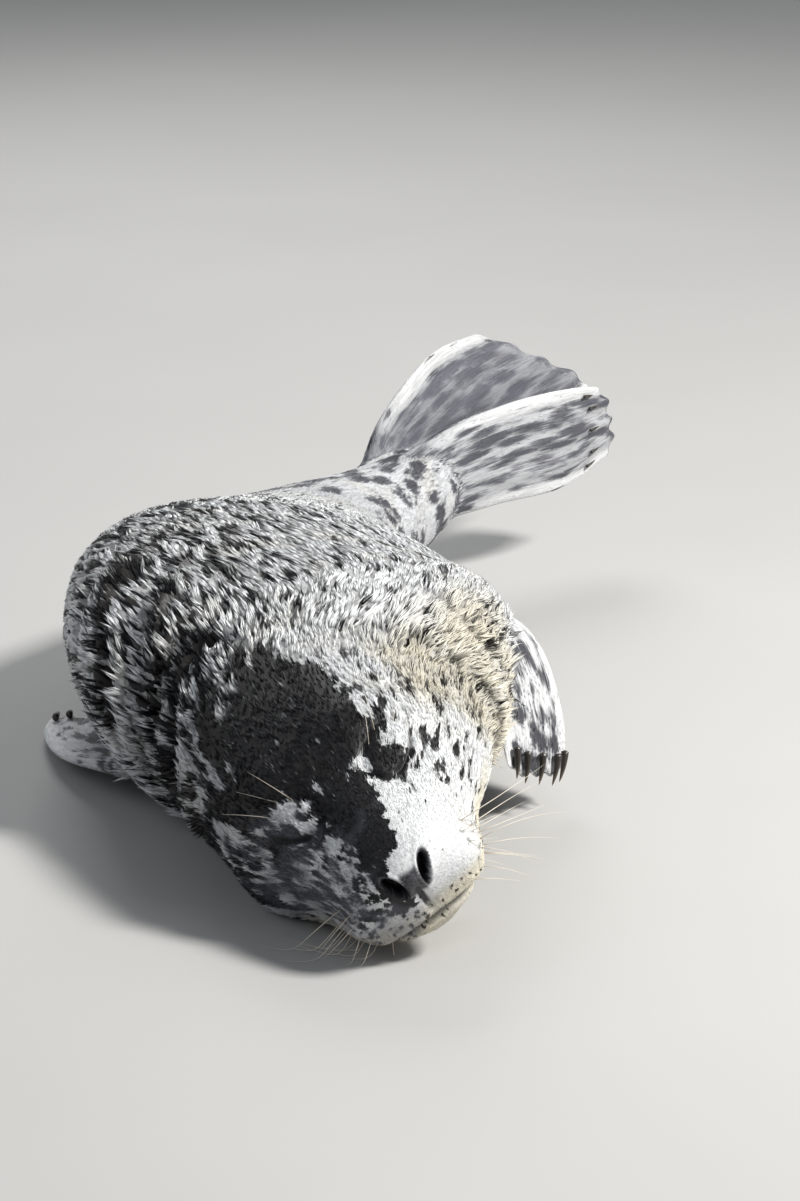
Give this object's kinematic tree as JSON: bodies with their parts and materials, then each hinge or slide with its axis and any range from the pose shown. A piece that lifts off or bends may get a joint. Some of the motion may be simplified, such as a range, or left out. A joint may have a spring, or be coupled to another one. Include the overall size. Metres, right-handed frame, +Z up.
{
  "type": "harbor seal pup",
  "caption": "Life-size harbor seal pup asleep on the floor, body curled to one side, head tipped on its cheek, eyes closed, hind flippers raised behind.",
  "frame": {"origin": "on the floor, in the flat under the loin that the animal lies on", "axes": "+Z up from the floor, -Y the way the head points, +Y towards the hind flippers, +X the animal's left"},
  "size_m": [0.3529, 0.7963, 0.1609],
  "materials": {
    "dark_coat": "short damp fur, near-black crown and face patches",
    "pale_coat": "short damp fur, silver white with dark broken spots",
    "cream_coat": "longer fluffy fur, cream to buff",
    "flipper_coat": "very short wet fur over ridged digits",
    "nose_skin": "moist dark skin",
    "claw_horn": "dark polished horn",
    "whisker_horn": "pale translucent horn"
  },
  "bodies": {
    "root": {"head": "dark_coat", "lower_jaw": "cream_coat", "nose": "nose_skin", "eye_left": "dark_coat", "eye_right": "dark_coat", "neck": "cream_coat", "chest": "pale_coat", "loin": "pale_coat", "rump": "pale_coat", "tail": "pale_coat", "hindflipper_left": "flipper_coat", "hindflipper_right": "flipper_coat", "foreflipper_left": "flipper_coat", "foreflipper_right": "flipper_coat", "claw_hindflipper_left_1": "claw_horn", "claw_hindflipper_left_2": "claw_horn", "claw_hindflipper_left_3": "claw_horn", "claw_hindflipper_left_4": "claw_horn", "claw_hindflipper_left_5": "claw_horn", "claw_hindflipper_right_1": "claw_horn", "claw_hindflipper_right_2": "claw_horn", "claw_hindflipper_right_3": "claw_horn", "claw_hindflipper_right_4": "claw_horn", "claw_hindflipper_right_5": "claw_horn", "claw_foreflipper_left_1": "claw_horn", "claw_foreflipper_left_2": "claw_horn", "claw_foreflipper_left_3": "claw_horn", "claw_foreflipper_left_4": "claw_horn", "claw_foreflipper_left_5": "claw_horn", "claw_foreflipper_right_1": "claw_horn", "claw_foreflipper_right_2": "claw_horn", "claw_foreflipper_right_3": "claw_horn", "claw_foreflipper_right_4": "claw_horn", "claw_foreflipper_right_5": "claw_horn"}
  },
  "joints": []
}
